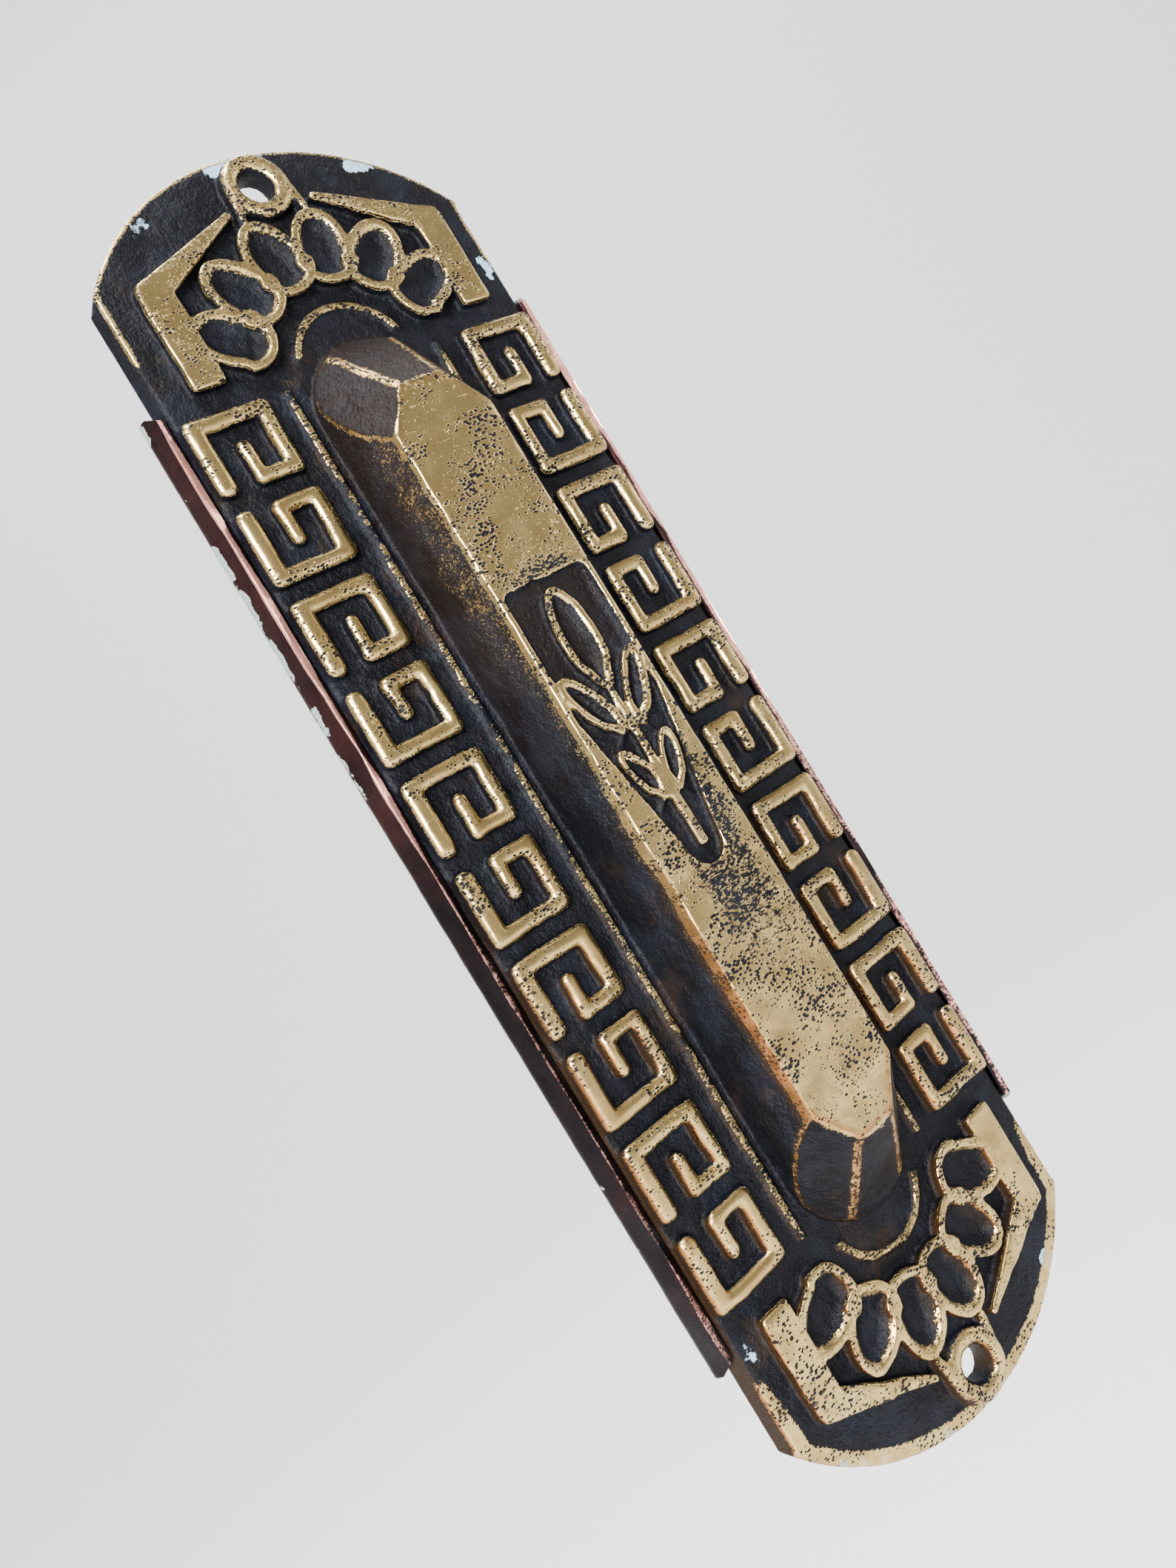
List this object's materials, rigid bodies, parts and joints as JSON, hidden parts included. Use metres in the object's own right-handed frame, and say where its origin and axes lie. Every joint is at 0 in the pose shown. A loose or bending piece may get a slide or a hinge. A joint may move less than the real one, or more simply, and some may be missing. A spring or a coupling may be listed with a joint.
{
  "type": "mezuzah case",
  "caption": "Slim cast brass mezuzah case: round-ended plate with a hollow faceted housing, raised relief, a nail hole at each end, and a copper back that slides off for the parchment.",
  "frame": {"origin": "centre of the sliding back's flat outer face, the face that lies against the doorpost, at the middle of the cover's length", "axes": "+Z along the case, up as it is mounted; +Y out of the back, into the doorpost; the decorated front faces -Y; +X to the right seen from the front"},
  "size_m": [0.031, 0.0077, 0.099],
  "materials": {
    "cast_brass": "worn polished relief over a near-black patina",
    "sheet_copper": "tarnished red-brown copper with bright folded lips",
    "parchment": "matt cream parchment"
  },
  "bodies": {
    "cover": {"front_cover": "cast_brass", "parchment_scroll": "parchment"},
    "back": {"sliding_back": "sheet_copper"}
  },
  "joints": [
    {"name": "back_slide", "type": "slide", "parent": "cover", "child": "back", "axis": [0, 0, 1], "range_m": [-0.088, 0.088]}
  ]
}
